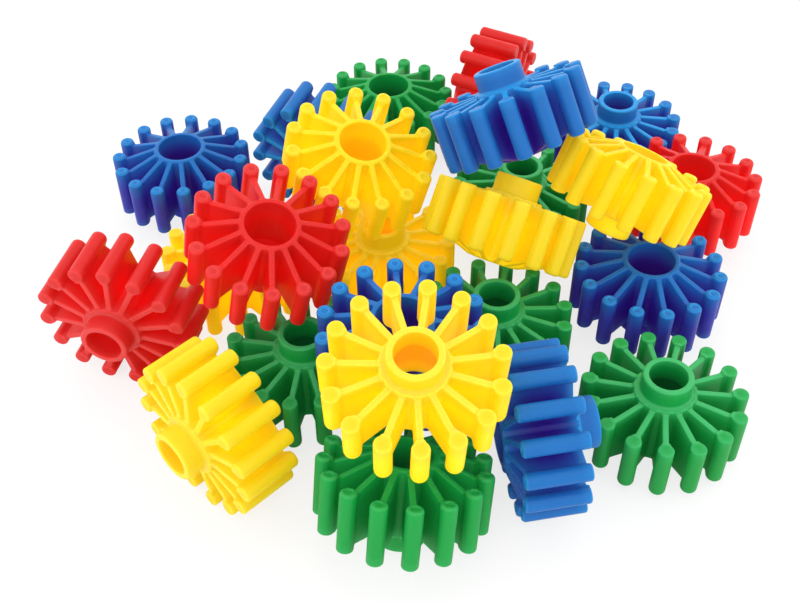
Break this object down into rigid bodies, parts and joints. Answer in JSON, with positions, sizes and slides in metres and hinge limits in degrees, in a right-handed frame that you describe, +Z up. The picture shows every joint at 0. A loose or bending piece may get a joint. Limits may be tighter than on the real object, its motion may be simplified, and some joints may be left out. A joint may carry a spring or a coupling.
{
  "type": "toy gear heap",
  "caption": "Heap of loose moulded toy gears in four colours, each with round rods for teeth, thin webs, a hub with a collar and a socket, for stacking and meshing by hand.",
  "frame": {"origin": "on the floor under the bore of green_gear_centre, the root gear", "axes": "+Z up, +Y away from the picture's viewer, +X to the viewer's right"},
  "size_m": [0.314, 0.3068, 0.1187],
  "materials": {
    "green_plastic": "satin",
    "blue_plastic": "satin",
    "yellow_plastic": "satin",
    "red_plastic": "satin"
  },
  "bodies": {
    "green_gear_centre": {"green_gear_centre": "green_plastic"},
    "blue_gear_right": {"blue_gear_right": "blue_plastic"},
    "green_gear_right": {"green_gear_right": "green_plastic"},
    "blue_gear_far_right": {"blue_gear_far_right": "blue_plastic"},
    "red_gear_far_right": {"red_gear_far_right": "red_plastic"},
    "green_gear_far_left": {"green_gear_far_left": "green_plastic"},
    "blue_gear_left": {"blue_gear_left": "blue_plastic"},
    "yellow_gear_core": {"yellow_gear_core": "yellow_plastic"},
    "green_gear_left": {"green_gear_left": "green_plastic"},
    "yellow_gear_under_red": {"yellow_gear_under_red": "yellow_plastic"},
    "green_gear_under_blue": {"green_gear_under_blue": "green_plastic"},
    "green_gear_front": {"green_gear_front": "green_plastic"},
    "blue_gear_on_edge_front": {"blue_gear_on_edge_front": "blue_plastic"},
    "red_gear_on_edge_left": {"red_gear_on_edge_left": "red_plastic"},
    "red_gear_on_edge_far": {"red_gear_on_edge_far": "red_plastic"},
    "blue_gear_on_edge_far": {"blue_gear_on_edge_far": "blue_plastic"},
    "yellow_gear_on_edge_front": {"yellow_gear_on_edge_front": "yellow_plastic"},
    "blue_gear_under_yellow": {"blue_gear_under_yellow": "blue_plastic"},
    "yellow_gear_tipped": {"yellow_gear_tipped": "yellow_plastic"},
    "yellow_gear_right": {"yellow_gear_right": "yellow_plastic"},
    "red_gear_top_left": {"red_gear_top_left": "red_plastic"},
    "yellow_gear_top_far": {"yellow_gear_top_far": "yellow_plastic"},
    "yellow_gear_top_front": {"yellow_gear_top_front": "yellow_plastic"},
    "blue_gear_top": {"blue_gear_top": "blue_plastic"}
  },
  "joints": [
    {"name": "blue_gear_right_spin", "type": "hinge", "parent": "green_gear_centre", "child": "blue_gear_right", "pos_m": [0.06643, 0.02064, 0.0209], "axis": [0, 0, 1], "continuous": true},
    {"name": "green_gear_right_spin", "type": "hinge", "parent": "green_gear_centre", "child": "green_gear_right", "pos_m": [0.06192, -0.04515, 0.0153], "axis": [0, 0, 1], "continuous": true},
    {"name": "blue_gear_far_right_spin", "type": "hinge", "parent": "green_gear_centre", "child": "blue_gear_far_right", "pos_m": [0.06966, 0.13803, 0.0153], "axis": [0, 0, 1], "continuous": true},
    {"name": "red_gear_far_right_spin", "type": "hinge", "parent": "green_gear_centre", "child": "red_gear_far_right", "pos_m": [0.09623, 0.08355, 0.0209], "axis": [0, 0, 1], "continuous": true},
    {"name": "green_gear_far_left_spin", "type": "hinge", "parent": "green_gear_centre", "child": "green_gear_far_left", "pos_m": [-0.04451, 0.15351, 0.0209], "axis": [0, 0, 1], "continuous": true},
    {"name": "blue_gear_left_spin", "type": "hinge", "parent": "green_gear_centre", "child": "blue_gear_left", "pos_m": [-0.14319, 0.10191, 0.0209], "axis": [0, 0, 1], "continuous": true},
    {"name": "yellow_gear_core_spin", "type": "hinge", "parent": "green_gear_centre", "child": "yellow_gear_core", "pos_m": [-0.04709, 0.04515, 0.0153], "axis": [0, 0, 1], "continuous": true},
    {"name": "green_gear_left_spin", "type": "hinge", "parent": "green_gear_centre", "child": "green_gear_left", "pos_m": [-0.07805, -0.02128, 0.0153], "axis": [0, 0, 1], "continuous": true},
    {"name": "yellow_gear_under_red_spin", "type": "hinge", "parent": "green_gear_centre", "child": "yellow_gear_under_red", "pos_m": [-0.11223, 0.03999, 0.0153], "axis": [0, 0, 1], "continuous": true},
    {"name": "green_gear_under_blue_spin", "type": "hinge", "parent": "green_gear_centre", "child": "green_gear_under_blue", "pos_m": [0.01741, 0.08579, 0.0153], "axis": [0, 0, 1], "continuous": true},
    {"name": "green_gear_front_spin", "type": "hinge", "parent": "green_gear_centre", "child": "green_gear_front", "pos_m": [-0.0387, -0.08707, 0.02295], "axis": [0.0827, 0.3319, 0.9397], "continuous": true},
    {"name": "blue_gear_on_edge_front_spin", "type": "hinge", "parent": "green_gear_centre", "child": "blue_gear_on_edge_front", "pos_m": [0.01097, -0.06772, 0.03234], "axis": [0.9889, 0.139, 0.0523], "continuous": true},
    {"name": "red_gear_on_edge_left_spin", "type": "hinge", "parent": "green_gear_centre", "child": "red_gear_on_edge_left", "pos_m": [-0.15157, -0.00323, 0.03234], "axis": [0.2418, 0.9697, 0.0349], "continuous": true},
    {"name": "red_gear_on_edge_far_spin", "type": "hinge", "parent": "green_gear_centre", "child": "red_gear_on_edge_far", "pos_m": [0.00709, 0.15029, 0.03186], "axis": [-0.8909, 0.4539, 0.0175], "continuous": true},
    {"name": "blue_gear_on_edge_far_spin", "type": "hinge", "parent": "green_gear_centre", "child": "blue_gear_on_edge_far", "pos_m": [-0.07547, 0.1032, 0.03252], "axis": [0.3737, 0.9249, 0.0698], "continuous": true},
    {"name": "yellow_gear_on_edge_front_spin", "type": "hinge", "parent": "green_gear_centre", "child": "yellow_gear_on_edge_front", "pos_m": [-0.10707, -0.0645, 0.03166], "axis": [-0.7071, -0.7071, 0], "continuous": true},
    {"name": "blue_gear_under_yellow_spin", "type": "hinge", "parent": "green_gear_centre", "child": "blue_gear_under_yellow", "pos_m": [-0.0387, -0.04192, 0.05102], "axis": [0, -0.1392, 0.9903], "continuous": true},
    {"name": "yellow_gear_tipped_spin", "type": "hinge", "parent": "green_gear_centre", "child": "yellow_gear_tipped", "pos_m": [0.00387, 0.02644, 0.04978], "axis": [0.328, 0.5682, 0.7547], "continuous": true},
    {"name": "yellow_gear_right_spin", "type": "hinge", "parent": "green_gear_centre", "child": "yellow_gear_right", "pos_m": [0.05611, 0.0387, 0.06103], "axis": [0.3887, 0.3379, 0.8572], "continuous": true},
    {"name": "red_gear_top_left_spin", "type": "hinge", "parent": "green_gear_centre", "child": "red_gear_top_left", "pos_m": [-0.09159, 0.00258, 0.06083], "axis": [0.1914, -0.2634, 0.9455], "continuous": true},
    {"name": "yellow_gear_top_far_spin", "type": "hinge", "parent": "green_gear_centre", "child": "yellow_gear_top_far", "pos_m": [-0.05706, 0.05256, 0.06296], "axis": [0.1914, -0.2634, 0.9455], "continuous": true},
    {"name": "yellow_gear_top_front_spin", "type": "hinge", "parent": "green_gear_centre", "child": "yellow_gear_top_front", "pos_m": [-0.03483, -0.07998, 0.07335], "axis": [0.0108, -0.3088, 0.9511], "continuous": true},
    {"name": "blue_gear_top_spin", "type": "hinge", "parent": "green_gear_centre", "child": "blue_gear_top", "pos_m": [0.00645, 0.04515, 0.09133], "axis": [-0.3428, 0.4233, 0.8387], "continuous": true}
  ],
  "couplings": [
    {"joint": "red_gear_far_right_spin", "follows": "blue_gear_far_right_spin", "ratio": -1},
    {"joint": "yellow_gear_top_far_spin", "follows": "red_gear_top_left_spin", "ratio": -1}
  ]
}
